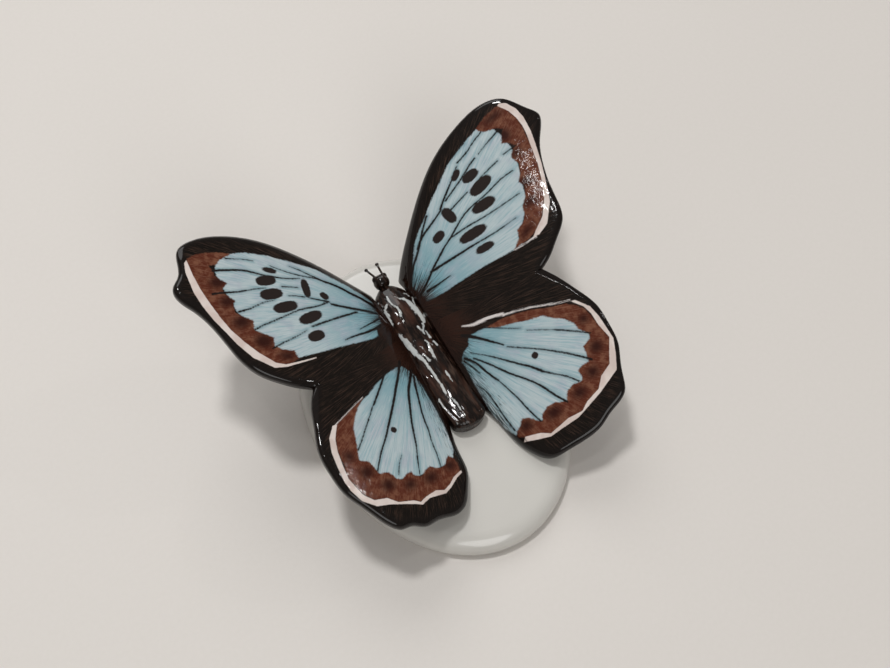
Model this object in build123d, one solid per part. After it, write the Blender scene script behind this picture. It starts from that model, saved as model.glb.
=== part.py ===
from build123d import *
import os
from math import atan2, degrees, exp

os.makedirs("parts", exist_ok=True)

# A porcelain butterfly with raised wings, fixed by a pad of slip on a low oval dome.
# Millimetres and degrees. +Z is up, +Y is the way the butterfly faces, +X is its right.
# The origin is on the table, under the middle of the ornament's overall box.

# Placing on the table
dome_side = -3.3          # middle of the dome, to the left of the origin
dome_back = -2.8          # middle of the dome, behind the origin
dome_turn = -5.3          # the oval's long axis, turned against the butterfly's
body_side = -1.2          # middle line of the butterfly, from the origin
body_front = 17.4         # middle of the thorax, ahead of the origin
body_lean = 1.1           # the butterfly leans to its right by this angle

# Dome: slip cast, open underneath, on a flat foot rim
dome_length = 82.8
dome_width = 60.9
dome_height = 7.2
dome_wall = 2.6
dome_edge_height = 1.7    # height of the widest part of the edge
dome_edge_round = 3.6     # radius of the turn from the edge to the crown
foot_inset = 1.6          # foot rim's outer edge, inside the widest part
foot_rim = 2.2            # width of the flat rim
hollow_round = 2.4        # the same turn inside the hollow

# Body: thorax and abdomen, flat underneath where they sit on the pad
seat_half = 4.4           # half the width between the flat flanks that carry the wings
body_bottom = 8.0
flank_share = 0.6         # upright part of the sides, of the body's height
pad_half_width = 3.6
pad_front = 3.2
pad_inset = 3.7           # the pad ends this far short of the tail
waist_back = 9.6          # joint between thorax and abdomen
waist_top = 14.4
thorax_front = 6.3
thorax_top = 16.6
thorax_half = 5.0
collar_half = 2.3
collar_top = 15.2
swell_share = 0.65        # where the collar has swollen to the shoulders, of thorax_front
swell_half_share = 0.82
slope_share = 0.5         # where the back begins to slope, of waist_back
slope_top_share = 0.98
abdomen_half = 4.8
abdomen_top = 13.4
abdomen_fall_share = 0.35     # where the fall from the waist ends, of the abdomen's length
tail_clear = 4.3          # the tail runs on this far past the wing roots
tail_top = 12.2
tail_half = 4.5
tail_round = 2.8          # length of the rounded end

# Head and antennae
head_radius = 2.1
head_ahead = 7.7
head_height = 14.9
eye_radius = 0.85
eye_spread = 1.25
eye_ahead = 1.0
eye_rise = 0.75
antenna_length = 3.6
antenna_radius = 0.27
antenna_depth = 0.8
antenna_clearance = 0.05
knob_radius = 0.46
antenna_spread = 0.95
antenna_rise = 1.35
antenna_ahead = 1.0
antenna_splay = 11.0      # outward angle of each antenna
antenna_sway = 7.0        # both are bent over to the left by this angle
antenna_tilt = 4.0        # upward angle

# Wing skin: the common curved top of both wings of a side, in the wings' own frame
wing_pitch = 13.3         # the wings' frame is tipped up at the head by this angle
wing_frame_height = 10.5
wing_base_height = 5.9    # skin height carried in to the middle line
wing_rise_share = 0.485   # rise for each unit outwards
wing_camber_reach = 770.0
root_drop = 1.2           # extra fall of the skin at the flank
root_blend = 3.0
lead_drop = 3.4           # extra fall of the leading edge at its root
lead_band = 3.0
lead_fade = 13.0
lead_start = 7.2          # leading edge's place at the flank, used by the falling band
lead_rise_share = 1.28
lead_bend_reach = 55.6
curl_start_share = 0.813  # the outer margin curls down from here, of fore_span
curl_reach = 8.0
curl_drop = 0.9
wing_thickness = 3.2
rim_top_round = 1.5
rim_under_round = 0.8
skin_step = 3.0           # spacing of the points that the skin is drawn through

# Wing outlines
fore_span = 49.2          # middle line to the farthest lobe
fore_reach = 32.2         # thorax middle to the most forward point
hind_reach = 49.8         # thorax middle back to the farthest lobe
hind_span_share = 0.752   # span of the hind wings, of fore_span
root_front_share = 0.23   # front end of the wing root, of fore_reach
hind_root_share = 0.4975  # rear end of the wing root, from the notch's place to hind_reach
seam_back = 7.0           # fore and hind wing part here on the flank
seam_sag = 0.6
notch_out_share = 0.5915  # and here at the margin, from the flank to fore_span
notch_back_share = 0.323  # of fore_reach

overrun = 5.0             # how far cutting shapes run past what they cut

# Lengths that follow from the named ones
hind_span = hind_span_share * fore_span
root_front = root_front_share * fore_reach
notch_out = seat_half + notch_out_share * (fore_span - seat_half)
notch_back = notch_back_share * fore_reach
hind_root_back = notch_back + hind_root_share * (hind_reach - notch_back)
tail_back = hind_root_back + tail_clear
pad_back = tail_back - pad_inset
curl_start = curl_start_share * fore_span

# Hand-chosen shares, from the root round to the notch: across from the flank to fore_span, and ahead
# of fore_reach. The wings were shaped by hand: the left one's tip is more hollow and its outer margin
# stands out farther.
right_fore_shares = (
    (0.018, 0.268), (0.141, 0.478), (0.280, 0.678), (0.438, 0.851), (0.615, 0.961), (0.779, 0.997),
    (0.874, 0.950), (0.923, 0.867), (0.965, 0.780), (0.998, 0.700), (0.976, 0.617), (0.924, 0.515),
    (0.874, 0.353), (0.847, 0.200), (0.834, 0.060), (0.807, -0.082), (0.732, -0.184), (0.651, -0.277),
)
left_fore_shares = (
    (0.026, 0.260), (0.153, 0.462), (0.287, 0.667), (0.439, 0.848), (0.615, 0.963), (0.778, 0.988),
    (0.862, 0.943), (0.892, 0.847), (0.925, 0.760), (0.976, 0.690), (0.974, 0.610), (0.936, 0.505),
    (0.893, 0.343), (0.872, 0.194), (0.851, 0.050), (0.808, -0.080), (0.735, -0.187), (0.651, -0.277),
)

# Hand-chosen shares, from the notch round to the flank: across from the flank to hind_span, and back
# from the notch's place to hind_reach
right_hind_shares = (
    (0.868, 0.084), (0.935, 0.216), (0.991, 0.358), (0.993, 0.487), (0.977, 0.612), (0.924, 0.716),
    (0.887, 0.798), (0.841, 0.880), (0.762, 0.919), (0.687, 0.942), (0.595, 0.980), (0.479, 0.997),
    (0.328, 0.997), (0.223, 0.987), (0.135, 0.905), (0.085, 0.807), (0.060, 0.700), (0.038, 0.597),
)
left_hind_shares = (
    (0.881, 0.075), (0.951, 0.209), (1.014, 0.355), (1.016, 0.487), (0.994, 0.616), (0.934, 0.718),
    (0.887, 0.795), (0.830, 0.876), (0.757, 0.929), (0.678, 0.939), (0.595, 0.975), (0.479, 0.977),
    (0.328, 0.997), (0.240, 0.975), (0.154, 0.896), (0.082, 0.807), (0.061, 0.700), (0.040, 0.597),
)


def crown_lines(height, half, land, turn):
    """Upright edge, turn and flat crown of an oval's half section, as two tangent arcs."""
    across = half - turn
    up = height - land
    crown = (across**2 + up**2 - turn**2) / (2 * (up - turn))
    angle = degrees(atan2(land - height + crown, across))
    CenterArc((across, land), turn, 0, angle)
    CenterArc((0, height - crown), crown, angle, 90 - angle)


def oval(section, half, length):
    """Turn a half section to a round, stretch it to an oval and set it in the dome's place."""
    solid = scale(revolve(section, axis=Axis.Z), by=(1, length / (2 * half), 1))
    return Pos(dome_side, dome_back, 0) * Rot(0, 0, dome_turn) * solid


def full_dome():
    """The dome without its hollow, run on below the table."""
    half = dome_width / 2
    foot = half - foot_inset
    with BuildSketch(Plane.XZ) as section:
        with BuildLine():
            Line((0, -overrun), (foot, -overrun))
            Line((foot, -overrun), (foot, 0))
            TangentArc((half, dome_edge_height), (foot, 0), tangent=(0, -1))
            crown_lines(dome_height, half, dome_edge_height, dome_edge_round)
            Line((0, dome_height), (0, -overrun))
        make_face()
    return oval(section.sketch, half, dome_length)


def hollow():
    """The room under the dome, inside the foot rim."""
    inset = foot_inset + foot_rim
    half = dome_width / 2 - inset
    with BuildSketch(Plane.XZ) as section:
        with BuildLine():
            Line((0, -overrun), (half, -overrun))
            Line((half, -overrun), (half, 0))
            crown_lines(dome_height - dome_wall, half, 0, hollow_round)
            Line((0, dome_height - dome_wall), (0, -overrun))
        make_face()
    return oval(section.sketch, half, dome_length - 2 * inset)


def base_dome():
    """The hollow dome, its foot rim ground flat."""
    room = dome_length + overrun
    below = Pos(dome_side, dome_back, -room / 2) * Box(2 * room, 2 * room, room)
    return full_dome() - hollow() - below


def stand(solid):
    """Set a piece of the butterfly over the dome, with its lean."""
    return Pos(body_side, body_front, 0) * Rot(0, body_lean, 0) * solid


def mounting_pad():
    """A pad of slip between body and dome, its underside shaped by the dome."""
    middle = (pad_front - pad_back) / 2
    length = pad_front + pad_back
    with BuildSketch(Plane.XY.offset(body_bottom)) as outline:
        with Locations((0, middle)):
            SlotOverall(length, 2 * pad_half_width, rotation=90)
    pad = stand(extrude(outline.sketch, -(body_bottom - dome_wall)))
    return pad - full_dome()


def body_section(y, half, top):
    """A section of the body: flat foot, upright flanks and a round back."""
    flank = body_bottom + (top - body_bottom) * flank_share
    with BuildSketch(Plane.XZ.offset(-y)) as section:
        with BuildLine():
            Line((-half, body_bottom), (half, body_bottom))
            Line((half, body_bottom), (half, flank))
            EllipticalCenterArc((0, flank), half, top - flank, 0, arc_size=180)
            Line((-half, flank), (-half, body_bottom))
        make_face()
    return section.sketch


def trim_flanks(solid):
    """Cut the flanks to the two upright flats that carry the wing roots."""
    length = thorax_front + tail_back + 2 * overrun
    middle = (thorax_front - tail_back) / 2
    keep = Pos(0, middle, thorax_top / 2) * Box(2 * seat_half, length, thorax_top + 2 * overrun)
    return solid & keep


def thorax():
    swell_top = (collar_top + thorax_top) / 2
    sections = [
        body_section(thorax_front, collar_half, collar_top),
        body_section(thorax_front * swell_share, thorax_half * swell_half_share, swell_top),
        body_section(0, thorax_half, thorax_top),
        body_section(-waist_back * slope_share, thorax_half, thorax_top * slope_top_share),
        body_section(-waist_back, abdomen_half, waist_top),
    ]
    return trim_flanks(loft(sections))


def tail_end():
    """The rounded end of the abdomen: half its end section, turned about an upright axis."""
    section = body_section(0, tail_half, tail_top)
    middle = (body_bottom + tail_top) / 2
    half_box = Pos(tail_half / 2, 0, middle) * Box(tail_half, tail_half, tail_top + 2 * overrun)
    turned = revolve(section & half_box, axis=Axis.Z, revolution_arc=-180)
    return scale(turned, by=(1, tail_round / tail_half, 1))


def abdomen():
    """The long hind body, drawn in roundly at the tail."""
    straight = tail_back - tail_round
    fall = waist_back + (straight - waist_back) * abdomen_fall_share
    sections = [
        body_section(-waist_back, abdomen_half, waist_top),
        body_section(-fall, abdomen_half, abdomen_top),
        body_section(-straight, tail_half, tail_top),
    ]
    return trim_flanks(loft(sections) + Pos(0, -straight, 0) * tail_end())


def antenna_seats():
    """Where each antenna leaves the head, its own axis along Z, left one first."""
    seats = []
    for side in (-1, 1):
        place = Pos(side * antenna_spread, head_ahead + antenna_ahead, head_height + antenna_rise)
        seats.append(place * Rot(antenna_tilt, 0, antenna_sway - side * antenna_splay) * Rot(-90, 0, 0))
    return seats


def head():
    """Ball of the head with two eyes, cut flat against the thorax and drilled for the antennae."""
    solid = Pos(0, head_ahead, head_height) * Sphere(head_radius)
    for side in (-1, 1):
        eye = (side * eye_spread, head_ahead + eye_ahead, head_height + eye_rise)
        solid += Pos(*eye) * Sphere(eye_radius)
    reach = 2 * head_radius
    behind = Pos(0, thorax_front - reach / 2, head_height) * Box(2 * reach, reach, 2 * reach)
    solid -= behind
    for seat in antenna_seats():
        hole = Cylinder(antenna_radius + antenna_clearance, antenna_depth + overrun)
        solid -= seat * Pos(0, 0, (overrun - antenna_depth) / 2) * hole
    return solid


def antenna(seat):
    """A thin stalk with a round knob at its tip."""
    knob_height = antenna_length - knob_radius
    stalk = Cylinder(antenna_radius, knob_height + antenna_depth)
    knob = Pos(0, 0, knob_height) * Sphere(knob_radius)
    return seat * (Pos(0, 0, (knob_height - antenna_depth) / 2) * stalk + knob)


def lead_line(x):
    """The leading edge's forward place at a distance x from the middle."""
    out = x - seat_half
    return lead_start + lead_rise_share * out - out * out / lead_bend_reach


def skin_height(x, y):
    """Height of the wings' top skin in the wings' own frame."""
    out = x - seat_half
    rise = wing_base_height + wing_rise_share * x - x * x / wing_camber_reach
    root = root_drop * exp(-out / root_blend)
    edge = 2 / (1 + exp((lead_line(x) - y) / lead_band))
    lead = lead_drop * edge * exp(-out / lead_fade)
    curl = curl_drop * (max(0, x - curl_start) / curl_reach) ** 2
    return rise - root - lead - curl


def steps(low, high):
    """Evenly spaced places from low to high, about skin_step apart."""
    count = round((high - low) / skin_step)
    return [low + (high - low) * n / count for n in range(count + 1)]


def wing_slab():
    """The skin thickened downwards, wider all round than the wings."""
    rows = []
    for x in steps(seat_half - skin_step / 2, fore_span + skin_step):
        row = [(x, y, skin_height(x, y)) for y in steps(-hind_reach - skin_step, fore_reach + skin_step)]
        rows.append(row)
    skin = Face.make_surface_from_array_of_points(rows)
    return Solid.extrude(skin, Vector(0, 0, -wing_thickness))


def seam():
    """The line on which the fore and hind wing of a side meet."""
    flank = Vector(seat_half, -seam_back)
    notch = Vector(notch_out, -notch_back)
    middle = (flank + notch) / 2 + Vector(0, -seam_sag)
    return ThreePointArc(flank, middle, notch)


def cut_wing(rim, root):
    """Cut a wing from the slab, roll its rim over the top and ease it underneath."""
    with BuildSketch(Plane.XY.offset(-overrun)) as outline:
        with BuildLine():
            add(rim)
            add(seam())
            Line(*root)
        make_face()
    height = skin_height(fore_span, 0) + 2 * overrun
    wing = (wing_slab() & extrude(outline.sketch, height)).solids()[0]
    wall = wing.faces().filter_by(GeomType.EXTRUSION)[0]
    under, top = wall.edges().sort_by(SortBy.LENGTH)[-2:].sort_by(Axis.Z)
    wing = wing.fillet(rim_top_round, [top])
    place = under @ 0.5
    under = wing.edges().sort_by_distance(place)[0]
    return wing.fillet(rim_under_round, [under])


def forewing(shares):
    width = fore_span - seat_half
    points = [(seat_half + x * width, y * fore_reach) for x, y in shares]
    rim = Spline((seat_half, root_front), *points, (notch_out, -notch_back))
    return cut_wing(rim, ((seat_half, -seam_back), (seat_half, root_front)))


def hindwing(shares):
    width = hind_span - seat_half
    depth = hind_reach - notch_back
    points = [(seat_half + x * width, -notch_back - y * depth) for x, y in shares]
    rim = Spline((notch_out, -notch_back), *points, (seat_half, -hind_root_back))
    return cut_wing(rim, ((seat_half, -seam_back), (seat_half, -hind_root_back)))


def pitch(wing):
    """Set a wing from its own frame on the body."""
    return Pos(0, 0, wing_frame_height) * Rot(wing_pitch, 0, 0) * wing


def pieces():
    """Every piece by its name, in place on the table."""
    left_seat, right_seat = antenna_seats()
    butterfly = {
        "thorax": thorax(),
        "abdomen": abdomen(),
        "head": head(),
        "left_forewing": mirror(pitch(forewing(left_fore_shares)), Plane.YZ),
        "right_forewing": pitch(forewing(right_fore_shares)),
        "left_hindwing": mirror(pitch(hindwing(left_hind_shares)), Plane.YZ),
        "right_hindwing": pitch(hindwing(right_hind_shares)),
        "left_antenna": antenna(left_seat),
        "right_antenna": antenna(right_seat),
    }
    placed = {name: stand(solid) for name, solid in butterfly.items()}
    placed["base_dome"] = base_dome()
    placed["mounting_pad"] = mounting_pad()
    return placed


for name, solid in pieces().items():
    solid.label = name
    export_step(solid, f"parts/{name}.step")
    box = solid.bounding_box()
    print(name, round(solid.volume, 1), solid.is_valid, len(solid.solids()), box.min, box.max)
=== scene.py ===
import math
import bpy
import numpy as np
from mathutils import Matrix, Vector


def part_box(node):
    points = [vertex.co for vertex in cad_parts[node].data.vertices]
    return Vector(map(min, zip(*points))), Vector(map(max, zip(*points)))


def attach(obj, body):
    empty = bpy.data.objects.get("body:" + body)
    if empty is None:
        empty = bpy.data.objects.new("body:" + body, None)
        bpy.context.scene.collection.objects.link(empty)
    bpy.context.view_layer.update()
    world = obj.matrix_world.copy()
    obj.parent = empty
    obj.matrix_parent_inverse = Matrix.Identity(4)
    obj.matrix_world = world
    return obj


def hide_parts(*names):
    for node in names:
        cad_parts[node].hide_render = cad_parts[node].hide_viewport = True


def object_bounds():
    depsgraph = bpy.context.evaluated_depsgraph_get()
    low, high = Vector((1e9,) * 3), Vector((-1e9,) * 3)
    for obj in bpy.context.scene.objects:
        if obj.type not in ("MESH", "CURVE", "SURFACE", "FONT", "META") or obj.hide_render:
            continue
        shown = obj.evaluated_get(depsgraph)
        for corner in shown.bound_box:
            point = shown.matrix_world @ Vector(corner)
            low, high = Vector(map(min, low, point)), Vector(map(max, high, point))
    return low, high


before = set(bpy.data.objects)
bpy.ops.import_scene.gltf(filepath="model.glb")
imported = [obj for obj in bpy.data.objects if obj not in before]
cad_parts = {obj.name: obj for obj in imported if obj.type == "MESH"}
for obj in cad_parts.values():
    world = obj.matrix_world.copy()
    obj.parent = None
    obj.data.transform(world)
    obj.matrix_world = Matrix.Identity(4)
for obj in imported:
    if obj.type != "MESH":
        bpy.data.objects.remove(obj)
cadBox = [list(corner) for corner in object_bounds()]
scene = bpy.context.scene
mm = 0.001
print("frame loaded")

# camera, lamps and table
view = {
    "place": (-0.08383, -0.11832, 0.28377),
    "turn": (29.385, -1.879, -32.318),      # degrees about x, y, z
    "lens": 52.58,
    "sensor": 36,
    "nearest": 0.01,
}
studio = {
    "aim": (0, 0, 0.02),
    "lamps": (              # name, direction towards the lamp, distance and width in m, power in W
        ("ceilingLamp", (-0.076, 0.295, 0.952), 1.1, 0.15, 4.9),
        ("softFill", (-0.15, -0.75, 0.65), 1.8, 1.15, 9.4),
        ("softFill", (0.15, 0.75, 0.65), 1.8, 1.15, 9.4),
        ("glintLamp", (-0.2, 0.03, 0.975), 1.1, 0.035, 0.26),
        ("glintLamp", (-0.1, 0.02, 0.99), 1.1, 0.035, 0.26),
        ("glintLamp", (0.78, -0.05, 0.62), 1.1, 0.035, 0.26)),
    "sky": "#fffaf4",
    "skyStrength": 0.22,
}

scene.view_settings.view_transform = "Standard"
cameraData = bpy.data.cameras.new("camera")
cameraData.lens = view["lens"]
cameraData.sensor_width = view["sensor"]
cameraData.clip_start = view["nearest"]
camera = bpy.data.objects.new("camera", cameraData)
camera.location = view["place"]
camera.rotation_euler = [math.radians(angle) for angle in view["turn"]]
scene.collection.objects.link(camera)
scene.camera = camera

for lampName, toward, distance, width, power in studio["lamps"]:
    lampData = bpy.data.lights.new(lampName, "AREA")
    lampData.shape = "DISK"
    lampData.size = width
    lampData.energy = power
    lamp = bpy.data.objects.new(lampName, lampData)
    toward = Vector(toward).normalized()
    lamp.location = Vector(studio["aim"]) + toward * distance
    lamp.rotation_euler = toward.to_track_quat("Z", "Y").to_euler()
    scene.collection.objects.link(lamp)

# what the materials share
times, plus, minus = {"operation": "MULTIPLY"}, {"operation": "ADD"}, {"operation": "SUBTRACT"}
smooth = {"interpolation_type": "SMOOTHSTEP"}
colourMix = {"data_type": "RGBA"}


def toLinear(hexColour):
    channels = [int(hexColour[i:i + 2], 16) / 255 for i in (1, 3, 5)]
    return [c / 12.92 if c <= 0.04045 else ((c + 0.055) / 1.055) ** 2.4 for c in channels] + [1]


def addNode(tree, kind, settings, inputs):
    # an input takes the socket of another node, a hex colour or a plain value
    node = tree.nodes.new(kind)
    for name, value in settings.items():
        setattr(node, name, value)
    for name, value in inputs.items():
        if isinstance(value, bpy.types.NodeSocket):
            tree.links.new(value, node.inputs[name])
        else:
            node.inputs[name].default_value = toLinear(value) if isinstance(value, str) else value
    return node


def newMaterial(name):
    # with the object's own coordinates, in metres, to lay its patterns by
    material = bpy.data.materials.new(name)
    material.use_nodes = True
    tree = material.node_tree
    tree.nodes.clear()
    return material, tree, addNode(tree, "ShaderNodeTexCoord", {}, {}).outputs["Object"]


def makeDrivers(tree, finish, places):
    # what the paint goes by: soft random patterns, and the distances in mm that are kept in the mesh
    drivers = {}
    for name, (where, waves, detail, rough) in finish["patterns"].items():
        inputs = {"Vector": places[where], "Scale": waves, "Detail": detail, "Roughness": rough}
        drivers[name] = addNode(tree, "ShaderNodeTexNoise", {}, inputs).outputs[0]
    for name in finish.get("fields", ()):
        drivers[name] = addNode(tree, "ShaderNodeAttribute", {"attribute_name": name}, {}).outputs["Fac"]
    return drivers


def brushOver(tree, drivers, colour, layers):
    # each layer: its driver, where it starts and ends to fade, how much of it there is at both, its colour
    for driver, start, end, atStart, atEnd, top in layers:
        share = addNode(tree, "ShaderNodeMapRange", smooth,
                        {0: drivers[driver], 1: start, 2: end, 3: atStart, 4: atEnd}).outputs[0]
        colour = addNode(tree, "ShaderNodeMix", colourMix, {0: share, 6: colour, 7: top}).outputs[2]
    return colour


def stray(tree, value, noise, amount):
    # moves a value to and fro, as a brush strays from the line it follows
    aside = addNode(tree, "ShaderNodeMath", minus, {0: noise, 1: 0.5}).outputs[0]
    aside = addNode(tree, "ShaderNodeMath", times, {0: aside, 1: amount}).outputs[0]
    return addNode(tree, "ShaderNodeMath", plus, {0: value, 1: aside}).outputs[0]


def finishMaterial(tree, finish, colour, height):
    bump = addNode(tree, "ShaderNodeBump", {}, {**finish["bump"], "Height": height}).outputs[0]
    surface = addNode(tree, "ShaderNodeBsdfPrincipled", {},
                      {**finish["surface"], "Base Color": colour, "Normal": bump, "Coat Normal": bump}).outputs[0]
    addNode(tree, "ShaderNodeOutputMaterial", {}, {"Surface": surface})


# table top, rolled with matt wall paint: an even pale grey, with a grain that shows only as a faint unevenness
tableTop = {
    "size": 6,              # m, past the picture's edges from every side
    "patterns": {
        "grain": ("place", 0.9 / mm, 3, 0.5),           # waves of 1.1 mm, the roller's stipple
        "cloud": ("place", 0.009 / mm, 1, 0.5)},        # waves of 110 mm, uneven cover
    "colours": ("#d2cdc7", "#dad5d0"),
    "bump": {"Strength": 0.4, "Distance": 0.05 * mm},
    "surface": {"Roughness": 0.55, "Specular IOR Level": 0.3},
}


def makeTablePaint():
    material, tree, place = newMaterial("mattPaintedTable")
    drivers = makeDrivers(tree, tableTop, {"place": place})
    both = addNode(tree, "ShaderNodeMix", {"data_type": "FLOAT"},
                   {0: 0.5, 2: drivers["grain"], 3: drivers["cloud"]}).outputs[0]
    dark, light = tableTop["colours"]
    colour = addNode(tree, "ShaderNodeMix", colourMix, {0: both, 6: dark, 7: light}).outputs[2]
    finishMaterial(tree, tableTop, colour, drivers["grain"])
    return material


bpy.ops.object.select_all(action="DESELECT")
bpy.ops.mesh.primitive_plane_add(size=tableTop["size"], location=(0, 0, 0))
table = bpy.context.object
table.name = "table"
table.data.materials.append(makeTablePaint())

world = bpy.data.worlds.new("room")
scene.world = world
world.use_nodes = True
world.node_tree.nodes["Background"].inputs[0].default_value = toLinear(studio["sky"])
world.node_tree.nodes["Background"].inputs[1].default_value = studio["skyStrength"]
print("camera, lamps and table made")

# wings: on each side one curved skin, cut by its outline and a common seam into a fore and a hind leaf of clay
wing = {
    # the plan, in mm from the thorax middle: x outwards, y to the front
    "seatHalf": 4.4, "foreSpan": 49.2, "foreReach": 32.2, "hindSpan": 37.0, "hindReach": 49.8,
    "rootFront": 7.4, "seamBack": 7.0, "seamSag": 0.6, "notchOut": 30.9, "notchBack": 10.4, "hindRootBack": 30.0,
    "thickness": 3.2, "topRound": 1.5, "underRound": 0.8,
    # the top skin's height: how it climbs outwards, and how it dips at the root, the leading edge and the tip
    "rootHeight": 5.9, "climb": 0.485, "climbBend": 770,
    "rootDip": 1.2, "rootFade": 3, "leadDip": 3.4, "leadFade": 13, "leadBlend": 3,
    "leadFront": 7.2, "leadSlope": 1.28, "leadBend": 55.6, "tipDip": 0.9, "tipFrom": 40, "tipRun": 8,
    # how both sit on the body: degrees, and mm from the ornament's middle
    "pitch": 13.3, "height": 10.5, "lean": 1.1, "side": -1.2, "front": 17.4,
    # the mesh: rings from the outline to a short core line, close together where the rim is rolled
    "cores": {"Forewing": ((12, 0), (35, 13)), "Hindwing": ((12, -17), (23, -36))},
    "coreSteps": 50, "fineStep": 0.26, "underSteps": 14,
    "topRings": (0, 0.02, 0.06, 0.13, 0.23, 0.36, 0.52, 0.7, 0.9, 1.12, 1.36, 1.62),
    "underRings": (0, 0.03, 0.1, 0.22, 0.38, 0.58, 0.85),
    "rimSteps": 470, "otherRimSteps": 300, "seamSteps": 110, "rootSteps": {"Forewing": 46, "Hindwing": 70},
    "mergeWithin": 0.001 * mm, "smoothAngle": 40,
    "strokeSteps": 14, "fanRadius": 22,
}
rimShares = {               # each outline from the flank to the notch and back, in shares of span and reach
    "rightForewing": (
        (0.018, 0.268), (0.141, 0.478), (0.280, 0.678), (0.438, 0.851), (0.615, 0.961), (0.779, 0.997),
        (0.874, 0.950), (0.923, 0.867), (0.965, 0.780), (0.998, 0.700), (0.976, 0.617), (0.924, 0.515),
        (0.874, 0.353), (0.847, 0.200), (0.834, 0.060), (0.807, -0.082), (0.732, -0.184), (0.651, -0.277)),
    "leftForewing": (
        (0.026, 0.260), (0.153, 0.462), (0.287, 0.667), (0.439, 0.848), (0.615, 0.963), (0.778, 0.988),
        (0.862, 0.943), (0.892, 0.847), (0.925, 0.760), (0.976, 0.690), (0.974, 0.610), (0.936, 0.505),
        (0.893, 0.343), (0.872, 0.194), (0.851, 0.050), (0.808, -0.080), (0.735, -0.187), (0.651, -0.277)),
    "rightHindwing": (
        (0.868, 0.084), (0.935, 0.216), (0.991, 0.358), (0.993, 0.487), (0.977, 0.612), (0.924, 0.716),
        (0.887, 0.798), (0.841, 0.880), (0.762, 0.919), (0.687, 0.942), (0.595, 0.980), (0.479, 0.997),
        (0.328, 0.997), (0.223, 0.987), (0.135, 0.905), (0.085, 0.807), (0.060, 0.700), (0.038, 0.597)),
    "leftHindwing": (
        (0.881, 0.075), (0.951, 0.209), (1.014, 0.355), (1.016, 0.487), (0.994, 0.616), (0.934, 0.718),
        (0.887, 0.795), (0.830, 0.876), (0.757, 0.929), (0.678, 0.939), (0.595, 0.975), (0.479, 0.977),
        (0.328, 0.997), (0.240, 0.975), (0.154, 0.896), (0.082, 0.807), (0.061, 0.700), (0.040, 0.597)),
}
farAway = 9                 # mm, where no mark reaches


def smoothLine(points, count):
    # natural cubic curve through the points, even in length
    fineCount = 2000
    points = np.array(points, float)
    if len(points) < 3:
        return points[0] + (points[-1] - points[0]) * np.linspace(0, 1, count)[:, None]
    gaps = np.linalg.norm(np.diff(points, axis=0), axis=1)
    at = np.concatenate([[0], np.cumsum(gaps)])
    size = len(points)
    system = np.eye(size)
    right = np.zeros((size, 2))
    for i in range(1, size - 1):
        system[i, i - 1:i + 2] = gaps[i - 1], 2 * (gaps[i - 1] + gaps[i]), gaps[i]
        right[i] = 6 * ((points[i + 1] - points[i]) / gaps[i] - (points[i] - points[i - 1]) / gaps[i - 1])
    bend = np.linalg.solve(system, right)

    where = np.linspace(0, at[-1], fineCount)
    i = np.clip(np.searchsorted(at, where) - 1, 0, size - 2)
    gap = gaps[i][:, None]
    a = (at[i + 1] - where)[:, None] / gap
    b = 1 - a
    fine = (a * points[i] + b * points[i + 1]
            + ((a ** 3 - a) * bend[i] + (b ** 3 - b) * bend[i + 1]) * gap ** 2 / 6)
    length = np.concatenate([[0], np.cumsum(np.linalg.norm(np.diff(fine, axis=0), axis=1))])
    even = np.linspace(0, length[-1], count)
    return np.stack([np.interp(even, length, fine[:, k]) for k in (0, 1)], axis=1)


def strokeField(places, line, startHalf=0, endHalf=0):
    # distance of each place from a stroke's edge, negative on the stroke
    line = np.array(line, float)
    far = np.full(len(places), np.inf)
    halves = np.linspace(startHalf, endHalf, len(line))
    for i in range(len(line) - 1):
        run = line[i + 1] - line[i]
        t = np.clip(((places - line[i]) @ run) / max(run @ run, 1e-12), 0, 1)
        gap = np.linalg.norm(places - line[i] - t[:, None] * run, axis=1)
        far = np.minimum(far, gap - halves[i] - (halves[i + 1] - halves[i]) * t)
    return far


def strokesField(places, strokes, steps):
    # a stroke is its half width at either end and the points that it runs through
    fields = [strokeField(places, smoothLine(line, steps), start, end) for start, end, line in strokes]
    return np.min(fields or [np.full(len(places), float(farAway))], axis=0)


def areaField(places, line):
    # signed distance to a closed outline, negative inside
    line = np.array(line, float)
    ring = np.vstack([line, line[:1]])
    inside = np.zeros(len(places), bool)
    x, y = places.T
    for (ax, ay), (bx, by) in zip(ring[:-1], ring[1:]):
        if ay != by:
            crosses = ((ay > y) != (by > y)) & (x < (bx - ax) * (y - ay) / (by - ay) + ax)
            inside ^= crosses
    return np.where(inside, -1, 1) * strokeField(places, ring)


def dabsField(places, dabs):
    # a dab is its middle, half length, half width and turn in degrees, with slightly squared ends
    squared = 2.4
    fields = []
    for cx, cy, half, wide, turn in dabs:
        c, s = math.cos(math.radians(turn)), math.sin(math.radians(turn))
        u = ((places[:, 0] - cx) * c + (places[:, 1] - cy) * s) / half
        v = (-(places[:, 0] - cx) * s + (places[:, 1] - cy) * c) / wide
        fields.append(((np.abs(u) ** squared + np.abs(v) ** squared) ** (1 / squared) - 1) * min(half, wide))
    return np.min(fields, axis=0)


def addFields(mesh, fields):
    for name, values in fields.items():
        mesh.attributes.new(name, "FLOAT", "POINT").data.foreach_set("value", values.astype(np.float32))


def mergePoints(piece, within, turnOut=False):
    bpy.ops.object.select_all(action="DESELECT")
    piece.select_set(True)
    bpy.context.view_layer.objects.active = piece
    bpy.ops.object.mode_set(mode="EDIT")
    bpy.ops.mesh.select_all(action="SELECT")
    bpy.ops.mesh.remove_doubles(threshold=within)
    if turnOut:
        bpy.ops.mesh.normals_make_consistent(inside=False)
    bpy.ops.object.mode_set(mode="OBJECT")


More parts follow.
